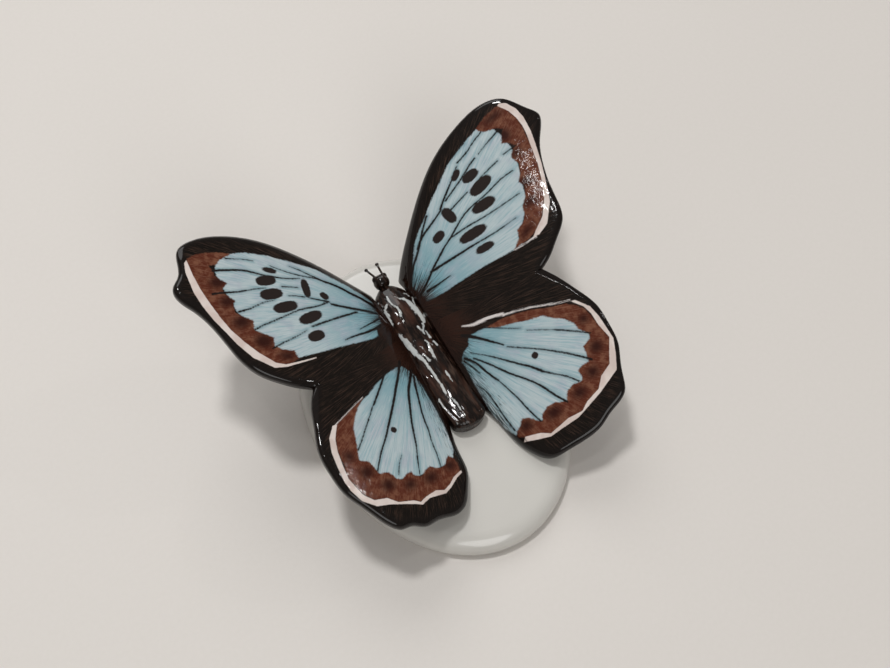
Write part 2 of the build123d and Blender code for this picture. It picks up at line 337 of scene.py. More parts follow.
def skinHeight(x, y):
    # the top skin, in the wings' own frame
    out = x - wing["seatHalf"]
    leadLine = wing["leadFront"] + wing["leadSlope"] * out - out * out / wing["leadBend"]
    rise = wing["rootHeight"] + wing["climb"] * x - x * x / wing["climbBend"]
    root = wing["rootDip"] * np.exp(-out / wing["rootFade"])
    edge = 2 / (1 + np.exp((leadLine - y) / wing["leadBlend"]))
    lead = wing["leadDip"] * edge * np.exp(-out / wing["leadFade"])
    tip = wing["tipDip"] * (np.maximum(0, x - wing["tipFrom"]) / wing["tipRun"]) ** 2
    return rise - root - lead - tip


def rimLine(name, count):
    reach = wing["hindReach"] - wing["notchBack"]
    notch = (wing["notchOut"], -wing["notchBack"])
    if name.endswith("Forewing"):
        wide = wing["foreSpan"] - wing["seatHalf"]
        points = [(wing["seatHalf"] + x * wide, y * wing["foreReach"]) for x, y in rimShares[name]]
        return smoothLine([(wing["seatHalf"], wing["rootFront"]), *points, notch], count)
    wide = wing["hindSpan"] - wing["seatHalf"]
    points = [(wing["seatHalf"] + x * wide, -wing["notchBack"] - y * reach) for x, y in rimShares[name]]
    return smoothLine([notch, *points, (wing["seatHalf"], -wing["hindRootBack"])], count)


def seamLine(count):
    # where fore and hind wing meet, from flank to notch
    t = np.linspace(0, 1, count)
    flank = np.array((wing["seatHalf"], -wing["seamBack"]))
    notch = np.array((wing["notchOut"], -wing["notchBack"]))
    line = flank + (notch - flank) * t[:, None]
    line[:, 1] -= wing["seamSag"] * 4 * t * (1 - t)
    return line


def placeOnBody(name, plan, height):
    # from the wings' own frame to the ornament's, in metres
    points = np.column_stack([plan, height])
    pitch = np.array(Matrix.Rotation(math.radians(wing["pitch"]), 3, "X"))
    lean = np.array(Matrix.Rotation(math.radians(wing["lean"]), 3, "Y"))
    points = points @ pitch.T + (0, 0, wing["height"])
    if name.startswith("left"):
        points[:, 0] *= -1
    return (points @ lean.T + (wing["side"], wing["front"], 0)) * mm


# what is painted on each wing, in the wings' own frame in mm: the middle of the fan of brush strokes, the outlines
# of the blue panel, the chestnut band and the white line, strokes, and dabs
marks = {
    "leftForewing": {
        "fanMiddle": (1.5, -1.5),
        "blue": [
            (6.2, 1.5), (5.8, 4.2), (7.8, 7.1), (9.7, 9.6), (12.4, 12.7), (14.9, 15.8), (17.4, 17.7), (20.8, 20),
            (24.7, 22.7), (27, 23.8), (28.9, 24.8), (32.4, 25.6), (35.8, 25.8), (37.8, 22.3), (38, 17.7),
            (37.8, 11.9), (36.6, 7.3), (34.7, 2.3), (32.8, -0.8), (30.5, -2.9), (25.1, -3.5), (19.3, -4),
            (15.1, -4.6), (11.2, -4.9), (9.7, -4.6), (9.1, -2.9), (7, -1.9)],
        "brown": [
            (32, 25.5), (35.1, 26.9), (38.2, 27.7), (40.5, 27.8), (42, 27.4), (42.8, 26.2), (43.1, 23.5),
            (43.2, 19.6), (42.8, 15.8), (42.2, 11.9), (41.4, 8.5), (40.1, 4.6), (38.5, 1.2), (36.6, -1.5),
            (35.1, -2.9), (32.8, -3.5), (30.5, -3.1), (30.4, -1), (32.8, 0.2), (34.1, 1.6), (33.2, 3.5), (34.7, 5),
            (36.4, 6.6), (35.5, 8.8), (37, 10.4), (38.3, 11.9), (38, 13.3), (36.9, 14.6), (38.3, 16.9), (38.2, 18.1),
            (36.5, 19), (38.3, 21.7), (38, 22.7), (38.3, 24.5), (36.6, 24), (35.1, 24.9)],
        "white": [
            (42.2, 27.3), (42.6, 23.5), (42.7, 19.6), (42.4, 15.8), (41.9, 11.9), (41.2, 8.5), (39.9, 5), (38.2, 1.5),
            (35.8, -2.1), (33.9, -3.3), (30.5, -3.8), (26.6, -4.2), (26.6, -4.5), (30.5, -4.2), (33.9, -3.9),
            (36.6, -3.1), (39.9, 0.8), (41.6, 5), (42.6, 8.8), (43.5, 11.9), (44.2, 15.8), (44.4, 19.6), (43.8, 24.6),
            (43, 26.7)],
        "vein": [
            (0.45, 0.3, [(6, 2.3), (7.8, 5), (10.1, 7.5), (12.4, 10.2), (14.9, 12.3)]),
            (0.28, 0.08, [(14.9, 12.3), (17.4, 15), (19.3, 17.1), (20.8, 18.5)]),
            (0.2, 0.1, [(14.7, 12.3), (16.6, 13.7), (18.5, 14.8), (21.2, 16.5), (25.1, 19.9)]),
            (0.1, 0.16, [(28.2, 22.3), (30.5, 23.5), (32.8, 24.4), (33.9, 24.9)]),
            (0.34, 0.3, [(6.8, 0.8), (10.1, 2.7), (13.5, 4.6), (16.2, 6.3)]),
            (0.25, 0.16, [(16.6, 7.1), (18.9, 8.5), (20.8, 9.7)]),
            (0.2, 0.12, [(21.4, 10), (23.2, 11), (24.8, 11.6)]),
            (0.12, 0.2, [(21.6, 12.7), (25.1, 14.2)]),
            (0.12, 0.3, [(28.9, 15.1), (32, 15.8), (34.7, 16.2), (38.5, 17.2), (40.8, 17.7)]),
            (0.16, 0.32, [(20.1, 14.8), (22.8, 15.6), (25.1, 16.7), (28.9, 19), (31.2, 20.6), (33.9, 21.7),
                (38, 22.9)]),
            (0.12, 0.25, [(28.5, 11.7), (31.2, 12), (34.3, 11.7), (37.4, 11.8)]),
            (0.22, 0.2, [(16.8, 7.1), (20.1, 7), (23.5, 7.5), (27, 7.4), (29.7, 7.2), (33.5, 7), (36.2, 6.7)]),
            (0.28, 0.24, [(11.4, 2.5), (15.8, 2.7), (20.1, 2.8), (23.5, 2.8)]),
            (0.12, 0.22, [(25.1, 2.4), (28.2, 1.9), (30.8, 1.7), (34.7, 1.2)]),
            (0.4, 0.16, [(7.8, -2.5), (10.8, -2.9), (14.7, -2.8), (17.8, -2.9)]),
            (0.3, 0.1, [(7, -0.8), (9.7, -1.2), (13.2, -1.7)])],
        "pale": [],
        "spot": [
            (25.8, 18.9, 1.7, 0.7, 33), (27.9, 16.8, 2.4, 1.3, 12), (28.4, 13.3, 2.7, 1.4, 10),
            (26.9, 9.3, 3.0, 1.35, 5), (22.7, 5.0, 3.0, 1.35, -3), (23.8, 0.4, 2.1, 1.3, 0), (20, 12, 2.5, 0.95, -75),
            (16.8, 8.8, 1.15, 0.85, 60)],
        "lobe": [
            (38.4, 20, 2, 1.6, 0), (38.6, 15, 1.9, 1.5, 0), (38, 9.4, 2.2, 1.6, 0), (35.7, 3.5, 2.2, 1.8, 20),
            (32.5, -1.6, 2, 1.3, 20)]},
    "rightForewing": {
        "fanMiddle": (1.5, -1.5),
        "blue": [
            (4.9, 2.7), (5.5, 4.6), (7.8, 8.1), (10.1, 11.5), (12, 13.5), (14.7, 15.4), (17.4, 17.9), (20.5, 20),
            (25.1, 23.5), (28.9, 25.2), (34.7, 27.1), (37.4, 25.8), (38.5, 22.3), (38.9, 18.5), (38.2, 14.2),
            (36.8, 10), (35.8, 6.5), (33.9, 3.5), (32, 1.2), (29.7, -0.8), (29.7, -3.1), (25.1, -2.9), (20.1, -2.5),
            (9.7, -2.6), (5.8, -2.2), (5.7, -0.8)],
        "brown": [
            (34.5, 27.2), (37.4, 28.5), (40.5, 29.2), (41.8, 29), (42.8, 26.7), (43.4, 24.2), (43.5, 21.9),
            (42.8, 15.8), (42, 11.9), (40.8, 8.1), (39.1, 3.8), (36.6, 0.4), (33.9, -1.7), (31.6, -2.7), (27.6, -3),
            (28.9, -1.9), (29.8, -1.2), (30.3, 0.6), (32.4, 1.5), (33.6, 2.9), (34, 4.8), (35.8, 6.5), (36.8, 8.8),
            (36.2, 10.4), (37.5, 11.9), (38.5, 14.2), (37.7, 16.2), (38.1, 17.2), (39.9, 18.5), (39.1, 19.8),
            (37.5, 20.6), (38.2, 21.9), (39.5, 23.5), (38.5, 24.6), (36, 25.2), (34.7, 26.3)],
        "white": [
            (41.3, 29.2), (42.8, 26.7), (43.5, 24.2), (43.7, 21.9), (43.5, 19.6), (42.7, 15.8), (42, 11.9),
            (40.8, 8.1), (39.1, 3.8), (36.6, 0.2), (33.9, -1.7), (32.4, -2.9), (33.9, -3.1), (36.6, -1.9),
            (39.7, 2.3), (41.2, 6.5), (42.8, 11.2), (43.7, 15), (44.7, 19.6), (45, 23.5), (44.6, 26.2), (43.3, 28.7),
            (42, 29.5)],
        "vein": [
            (0.3, 0.22, [(4.7, 3.5), (7, 6.7), (10.1, 9.8), (12.2, 12.3), (15.3, 15.6)]),
            (0.34, 0.2, [(10.1, 10), (11.6, 11.5), (14.7, 13), (18.5, 14.8)]),
            (0.3, 0.14, [(18.5, 15), (20.1, 16.5), (22.4, 18.3), (25.1, 20.6), (26.6, 21.9)]),
            (0.1, 0.16, [(24.7, 23.5), (27.4, 24.6), (30.5, 25.8)]),
            (0.2, 0.18, [(27, 22.5), (30.5, 23.7), (32.8, 24.9), (35.1, 25.8)]),
            (0.3, 0.26, [(5.3, 0.2), (7.8, 1.7), (10.1, 3.5), (12.4, 5), (14.7, 6.5)]),
            (0.22, 0.16, [(14.7, 6.5), (18.9, 8.8), (22, 10.6), (25.1, 11.5), (29.7, 12.3), (32.8, 13.2),
                (36.4, 13.5)]),
            (0.34, 0.26, [(9.7, 3.3), (14.7, 3.2), (20.1, 3.2)]),
            (0.22, 0.1, [(20.1, 3.2), (25.1, 3), (28.9, 3.1), (31.6, 3.3)]),
            (0.2, 0.14, [(17.4, 7.7), (22, 7.8), (25.8, 7.6), (30.5, 7.7), (35.1, 7.9)]),
            (0.2, 0.14, [(20.1, 13.4), (22.4, 14.1), (25.5, 15)]),
            (0.1, 0.18, [(28.9, 16.1), (32, 16.9), (34.7, 17.5)]),
            (0.16, 0.14, [(36.6, 18.1), (40.1, 18.4)]),
            (0.2, 0.2, [(20.5, 16.1), (23.5, 17.5), (27, 19.2), (28.9, 20.3), (30.8, 21.1)]),
            (0.1, 0.22, [(32, 21.5), (33.9, 22.3), (38.2, 23.8)]),
            (0.34, 0.12, [(7, -0.1), (9.7, -0.2), (13, 0)])],
        "pale": [
            (0.1, 0.22, [(27.6, -3.2), (30.5, -3.2), (33, -3)])],
        "spot": [
            (25.3, 20.1, 1.5, 0.8, 38), (27.9, 18, 2.1, 1.25, 10), (28.7, 14.6, 3.0, 1.45, 15),
            (27, 10.2, 2.9, 1.35, 2), (21.7, 5.6, 3.4, 1.3, 0), (22.3, 1.2, 2.2, 1.0, -3),
            (19.4, 12.6, 2.2, 1.2, -78), (15, 9.5, 1.6, 1.1, 22)],
        "lobe": [
            (39.2, 16.8, 1.4, 1.2, 0), (39, 22, 1.6, 1.6, 0), (39, 27.4, 2.6, 1.1, 10), (37.5, 9.5, 1.8, 1.4, 0),
            (36, 5, 2, 1.2, 0), (32, -0.8, 2.2, 1, 25)]},
    "leftHindwing": {
        "fanMiddle": (3.5, -10),
        "blue": [
            (8.2, -13.6), (10.1, -13.4), (13.5, -14.1), (15.1, -14.6), (17.4, -15.5), (20.1, -16.9), (21.6, -17.3),
            (25.8, -19.2), (28.2, -22.5), (29.7, -27.1), (30.3, -29.4), (28.5, -32.5), (27.4, -34.8), (24.3, -37.1),
            (21.2, -37.8), (18.9, -38.4), (14.7, -38.6), (10.8, -38.8), (9.3, -38.2), (7.8, -36.3), (6.6, -30.9),
            (6.2, -25.5), (6.2, -19.4), (6.3, -16.9), (7, -15.5)],
        "brown": [
            (21.6, -17), (25.1, -18.2), (28.9, -19.6), (30.7, -20.3), (32.4, -22.8), (33.5, -25.5), (33.9, -29),
            (34.5, -32.3), (33.3, -36.7), (31.6, -38.8), (28.9, -39.6), (27, -41.5), (23.5, -42.7), (22.2, -43.6),
            (20.5, -43.2), (17.4, -43), (15.5, -43.7), (13.5, -43.2), (11.6, -42.1), (9.3, -41.6), (8.8, -39.6),
            (9, -38.2), (9.9, -36.9), (10.8, -37.5), (12.1, -38.7), (13.5, -38.8), (14.6, -38.2), (15.7, -37.4),
            (17.4, -37.9), (18.9, -38.7), (20.1, -37.8), (20.5, -36.6), (21.7, -36.7), (23.5, -37.4), (24.4, -36.7),
            (25.3, -34.8), (26, -34.4), (27.5, -34.1), (27.8, -32.5), (28.2, -30.7), (30.1, -29.6), (29.8, -28.6),
            (28.5, -25.5), (27.5, -22.5), (25.9, -20.5), (23.9, -18.6)],
        "white": [
            (30.5, -20.2), (32.6, -23), (33.6, -25.7), (34.2, -29), (34.6, -32.3), (33.5, -36.7), (31.8, -38.8),
            (28.9, -39.6), (27, -41.5), (23.5, -42.7), (22.2, -43.7), (20.5, -43.2), (17.4, -42.9), (15.5, -43.7),
            (13.5, -43.1), (11.6, -42), (8.9, -41.3), (9, -41.9), (10.8, -42.4), (13.5, -43.8), (15.5, -44.5),
            (19.7, -43.8), (22.1, -44.4), (23.5, -43.6), (26.6, -42.2), (28.9, -41.2), (32, -40.2), (34.4, -37.8),
            (35.5, -34.8), (35.8, -32.5), (35.5, -29), (35, -25.5), (33.8, -22.4), (31.6, -20.1)],
        "vein": [
            (0.26, 0.24, [(13.5, -13.6), (15.5, -15.5), (17.8, -17.5), (20.1, -19.4)]),
            (0.16, 0.16, [(20.5, -19.6), (22.4, -21.4), (25.1, -23.8), (27.4, -25.9), (29.1, -27.3)]),
            (0.34, 0.3, [(8.2, -12.3), (10.1, -14.8), (12, -16.9), (14.7, -20), (17, -22.5), (19.7, -25.3)]),
            (0.26, 0.16, [(19.7, -25.3), (21.6, -27.3), (23.5, -29), (25.8, -31.3), (27.6, -33.4)]),
            (0.42, 0.24, [(6.6, -15.2), (8.5, -17.5), (10.1, -19.4), (11.8, -22.5), (13.5, -25.9), (15.1, -29.8)]),
            (0.22, 0.12, [(15.1, -29.8), (16.2, -32.5), (17.4, -34.8), (18.9, -38.2)]),
            (0.32, 0.2, [(6.8, -16.7), (7.8, -19), (8.9, -22.1), (10.1, -25.5), (11, -29.8)]),
            (0.18, 0.12, [(11, -29.8), (11.8, -32.5), (12.3, -35.2), (13.2, -38.8)]),
            (0.14, 0.06, [(6.3, -17.5), (6.6, -20.2), (6.8, -22.8)]),
            (0.1, 0.1, [(20.5, -32.5), (22.2, -34.2), (23.5, -36.1)])],
        "pale": [
            (0.08, 0.14, [(21.6, -16.9), (25.1, -18.1), (28.9, -19.5), (30.8, -20.1)])],
        "spot": [
            (18.9, -26.5, 0.75, 0.7, 40)],
        "lobe": [
            (31.8, -27.8, 1.3, 1.3, 0), (30, -32.6, 1.7, 1.5, 0), (27, -37.2, 1.7, 1.5, 0),
            (22.2, -39.2, 1.6, 1.3, 0), (16.8, -39.8, 2, 1.4, 0), (10.9, -39.2, 1.6, 1.3, 0)]},
    "rightHindwing": {
        "fanMiddle": (3.5, -10),
        "blue": [
            (8.2, -16.7), (9.3, -14.7), (13.5, -15.2), (18.5, -17.3), (21.2, -18.2), (25.1, -19.6), (28.2, -22.5),
            (30.5, -25.5), (31.6, -28.6), (31, -31.7), (28.9, -34.8), (25.5, -37.8), (22.8, -38.2), (19.7, -40.2),
            (15.8, -39.6), (13.5, -40.9), (10.8, -39.8), (7.8, -40), (7.2, -40.5), (5.8, -36.7), (5.2, -30.9),
            (5.2, -25.5), (5.5, -20.5), (5.3, -19), (6.6, -17.3)],
        "brown": [
            (13.2, -15.2), (17.4, -15.5), (20.5, -16.3), (23.5, -17.3), (27, -19.1), (30.7, -20.5), (32.4, -22.1),
            (33.6, -24), (34.2, -28.6), (34.7, -32.5), (32.8, -36.1), (31.6, -38), (28.9, -39.3), (27, -41.5),
            (23.5, -42.6), (21.6, -43.8), (18.2, -43.6), (13.5, -44.4), (11.6, -43.2), (8.5, -41.9), (7.4, -41.2),
            (7.6, -39.8), (8.6, -39.2), (9.9, -37.9), (11.2, -38.5), (12.3, -40), (13.2, -41), (13.9, -39.6),
            (15.8, -38.6), (17.8, -38.8), (19.1, -39.6), (20, -39.8), (20.8, -38.2), (22.8, -37.4), (24.8, -37.8),
            (25.3, -37.1), (25.3, -35.3), (26.6, -34.8), (28.2, -34.8), (28.8, -32.7), (28.9, -31.2), (31.2, -30.3),
            (31.5, -29.5), (30.1, -27.1), (30, -25.5), (28.5, -23.2), (26.6, -21.7), (25.1, -20), (22, -19.2),
            (18.5, -17.7), (15.1, -16.5)],
        "white": [
            (31.8, -20.5), (33.6, -23.2), (34.2, -25.5), (34.2, -28.6), (34.8, -32.5), (32.8, -35.9), (31.8, -37.8),
            (28.9, -39.2), (27, -41.4), (23.5, -42.5), (21.6, -43.8), (18.2, -43.5), (13.5, -44.4), (11.6, -43),
            (8.5, -41.9), (7.8, -42.8), (10.5, -44), (13.2, -45), (15.5, -44.8), (20.1, -44.6), (23.5, -43.5),
            (27, -42.3), (28.9, -41.4), (32.4, -39.8), (34, -36.7), (35.4, -33.2), (35.3, -27.1), (34.8, -24),
            (32.8, -20.9)],
        "vein": [
            (0.42, 0.2, [(8.3, -13.8), (10.1, -15.5), (12, -17.7), (14.7, -20.9)]),
            (0.16, 0.24, [(15.1, -21.7), (18.9, -24.8), (20.5, -26.1), (23.5, -28.8), (26.2, -31.5), (29.1, -34.8)]),
            (0.12, 0.14, [(13.2, -15.1), (16.2, -17.3), (18.2, -18.8), (19.7, -19.8)]),
            (0.1, 0.14, [(20.5, -20.9), (23.5, -22.8), (25.8, -24.4)]),
            (0.2, 0.18, [(25.8, -24.4), (28.2, -26.3), (30.5, -28.2), (31.8, -29.4)]),
            (0.16, 0.3, [(10.8, -21.3), (12.8, -23.6), (14.7, -25.9), (17.4, -29), (18.9, -31.1)]),
            (0.22, 0.16, [(18.9, -31.1), (20.8, -33.2), (22.4, -34.8), (24.3, -37.5)]),
            (0.2, 0.26, [(7.8, -19.8), (9.7, -22.5), (11.6, -25.7), (13.5, -28.6), (15.5, -31.3), (17.4, -34.8),
                (18.5, -37.5), (19.9, -40.2)]),
            (0.3, 0.24, [(6.2, -18.6), (7.8, -21.3), (8.7, -24.4), (9.8, -27.3)]),
            (0.14, 0.2, [(9.8, -27.3), (10.8, -30.9), (11.6, -34.4), (12.2, -37.8), (13, -40.7)]),
            (0.2, 0.16, [(5.8, -19), (6.6, -21.3), (7.3, -23.6)]),
            (0.14, 0.18, [(5.5, -25.5), (6.4, -27.8), (6.8, -30.9), (7, -34.8), (7.4, -39.4)]),
            (0.14, 0.1, [(10.8, -21.3), (7.8, -18.2)])],
        "pale": [
            (0.12, 0.38, [(9.3, -11.9), (11, -12.8), (12.5, -13.2)]),
            (0.38, 0.3, [(12.5, -13.2), (15, -13.6), (18, -14.6)]),
            (0.2, 0.12, [(18, -14.9), (21, -15.8), (25.1, -17.4), (28.9, -19.2), (31.8, -20.2)])],
        "spot": [
            (19.2, -27, 0.8, 0.75, 40)],
        "lobe": [
            (32.2, -25.7, 1.2, 1.2, 0), (31.3, -32.8, 1.5, 1.5, 0), (27.8, -37.3, 1.5, 1.4, 0),
            (23.2, -39.8, 1.7, 1.4, 0), (16.3, -40.6, 1.9, 1.5, 0), (9.9, -39.8, 1.6, 1.4, 0)]},
}


def wingPiece(name, material):
    side, kind = name[:-8], name[-8:]
    node = side + "_" + kind.lower()
    ownRim = rimLine(name, wing["rimSteps"])
    otherRim = rimLine(side + ("Hindwing" if kind == "Forewing" else "Forewing"), wing["otherRimSteps"])
    seam = seamLine(wing["seamSteps"])
    if kind == "Forewing":
        root = smoothLine([seam[0], ownRim[0]], wing["rootSteps"][kind])
        outline = np.vstack([ownRim[:-1], seam[::-1][:-1], root[:-1]])
    else:
        root = smoothLine([ownRim[-1], seam[0]], wing["rootSteps"][kind])
        outline = np.vstack([ownRim[:-1], root[:-1], seam[:-1]])
    around = len(outline)

    # the innermost ring lies on the core line
    a, b = (np.array(end, float) for end in wing["cores"][kind])
    t = np.clip(((outline - a) @ (b - a)) / ((b - a) @ (b - a)), 0, 1)
    inner = a + np.round(t * wing["coreSteps"])[:, None] / wing["coreSteps"] * (b - a)
    ray = np.linalg.norm(inner - outline, axis=1)[:, None]
    finer = int(ray.max() / wing["fineStep"])

    def rings(distances, steps):
        # the first ones at set distances from the outline, the others evenly from the rolled rim to the core
        made = [outline + (inner - outline) * np.minimum(distance / ray, 1) for distance in distances]
        start = np.minimum(wing["topRings"][-1] / ray, 1)
        for k in range(steps):
            made.append(outline + (inner - outline) * (start + (1 - start) * ((k + 1) / steps)))
        return made

    def edgeDistance(plan):
        return np.minimum(strokeField(plan, ownRim), strokeField(plan, otherRim))

    def roll(distance, radius):
        left = np.maximum(0, radius - distance)
        return radius - np.sqrt(np.maximum(0, radius ** 2 - left ** 2))

    topRings = rings(wing["topRings"], finer)
    underRings = rings(wing["underRings"], wing["underSteps"])
    topPlan = np.vstack(topRings)
    underPlan = np.vstack(underRings)
    topHeight = skinHeight(*topPlan.T) - roll(edgeDistance(topPlan), wing["topRound"])
    underHeight = skinHeight(*underPlan.T) - wing["thickness"] + roll(edgeDistance(underPlan), wing["underRound"])
    plan = np.vstack([topPlan, underPlan])
    places = placeOnBody(name, plan, np.concatenate([topHeight, underHeight]))
    places = np.clip(places, *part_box(node))

    # quads between rings, and the outer wall between the first rings of the top and of the underside
    def strip(first, second):
        i = np.arange(around)
        j = (i + 1) % around
        return np.column_stack([first + i, first + j, second + j, second + i])

    topCount = len(topRings) * around
    faces = [strip(k * around, (k + 1) * around) for k in range(len(topRings) - 1)]
    faces += [strip(topCount + (k + 1) * around, topCount + k * around) for k in range(len(underRings) - 1)]
    faces.append(strip(topCount, 0))
    faces = np.vstack(faces)
    if side == "left":
        faces = faces[:, ::-1]

    mesh = bpy.data.meshes.new(name)
    mesh.from_pydata(places.tolist(), [], faces.tolist())
    own = marks[name]
    painted = {area: areaField(plan, own[area]) for area in ("blue", "brown", "white")}
    painted["vein"] = strokesField(plan, own["vein"], wing["strokeSteps"])
    painted["spot"] = dabsField(plan, own["spot"])
    painted["lobe"] = dabsField(plan, own["lobe"])
    painted["pale"] = strokesField(plan, own["pale"], wing["strokeSteps"])
    for values in painted.values():
        values[topCount:] = farAway                 # the underside is plain
    addFields(mesh, {"edge": edgeDistance(plan), **painted})
    away = plan - np.array(own["fanMiddle"])
    turn = np.arctan2(away[:, 1], away[:, 0])
    fan = np.column_stack([turn * wing["fanRadius"], np.linalg.norm(away, axis=1), np.zeros(len(plan))])
    mesh.attributes.new("fan", "FLOAT_VECTOR", "POINT").data.foreach_set("vector", fan.astype(np.float32).ravel())

    piece = bpy.data.objects.new(name, mesh)
    scene.collection.objects.link(piece)
    mergePoints(piece, wing["mergeWithin"], turnOut=True)
    bpy.ops.object.shade_smooth_by_angle(angle=math.radians(wing["smoothAngle"]))
    mesh.materials.append(material)
    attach(piece, "root")
    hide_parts(node)
    return piece


# porcelain painted by hand under a clear dipped glaze: matt brushed colour with ragged edges, seen through a thin
# even gloss that gives small sharp lamp images, and grainy where it lies over the thick chestnut
wingPaint = {
    # strokes run out from the root: waves across are for 22 mm from it, 3.5 in a mm for streaks, 9 for hairs;
    # along it they are 9 mm and 3.4 mm long
    "strokeScale": (2.2, 0.07, 1),
    "patterns": {
        "streaks": ("strokes", 1.6, 4, 0.65),
        "hairs": ("strokes", 4.2, 3, 0.6),
        "ragged": ("place", 1.8 / mm, 3, 0.6),          # waves of 0.55 mm, the edge of a drying brush
        "patches": ("place", 0.23 / mm, 2, 0.5),        # 4.3 mm, thicker and thinner colour
        "dabs": ("place", 0.62 / mm, 3, 0.6)},          # 1.6 mm, the tip of the brush
    "fields": ("edge", "blue", "brown", "white", "vein", "spot", "lobe", "pale"),
    "furStray": 36,
    "haloStray": 0.8,
    "colours": {            # the first colour of each area, and what is brushed over it
        "ground": ("#0b0502", (
            ("streaks", 0.5, 0.68, 0, 0.75, "#382820"),
            ("hairs", 0.52, 0.72, 0, 0.7, "#44332a"),
            ("furEdge", 3, 10, 0.8, 0, "#341c13"),              # redder by the root
            ("edge", 1.2, 2.6, 0.85, 0, "#0f0907"))),           # black rim
        "blue": ("#5f909c", (
            ("reach", 5, 27, 0, 1, "#b0bdc0"),                  # turquoise by the root, greyer outwards
            ("patches", 0.45, 0.7, 0, 0.6, "#a3a9b5"),
            ("streaks", 0.46, 0.62, 0, 0.62, "#7fa3ac"),
            ("hairs", 0.5, 0.7, 0, 0.55, "#c3cccd"),
            ("veinHalo", 0.3, 1.3, 0.55, 0, "#6b8b93"))),       # darker beside the veins
        "brown": ("#542617", (
            ("dabs", 0.38, 0.7, 0, 1, "#744a37"),
            ("streaks", 0.48, 0.66, 0, 0.6, "#4e1f10"),
            ("hairs", 0.5, 0.72, 0, 0.5, "#8a6350"),
            ("lobe", -1.3, 0.9, 0.95, 0, "#2b0c05"))),
        "white": ("#d9cdc6", (("patches", 0.4, 0.6, 0, 1, "#cdbdb5"),)),
        "fur": ("#130704", (("hairs", 0.5, 0.68, 0, 1, "#4a2c20"),))},
    "panel": ("blue", 0.5, 1.0, 0.16),
    "panelFrom": (5.6, 7.4),
    "marks": (              # how far each one's edge strays to all sides and along the strokes, its softness, colour
        ("pale", 0.28, 1.2, 0.16, "#d2cbc8"),
        ("brown", 0.6, 0.6, 0.22, "brown"),
        ("vein", 0.36, 0.28, 0.14, "#17110f"),
        ("spot", 0.28, 0.28, 0.12, "#241c1a"),
        ("white", 0.16, 0, 0.09, "white")),
    "furBand": (5.6, 6.8, 0.85, 0),         # mm from the body's middle, and how much fur there
    "furHairs": 20,
    "grain": (0.6, 0.5, 0.22),              # stray, softness and height of the grain over the chestnut
    "dabHeight": 0.12,
    "bump": {"Strength": 0.3, "Distance": 0.2 * mm},
    "surface": {"Roughness": 0.5, "Specular IOR Level": 0.03,
                "Coat Weight": 0.7, "Coat Roughness": 0.05, "Coat IOR": 1.45},
}


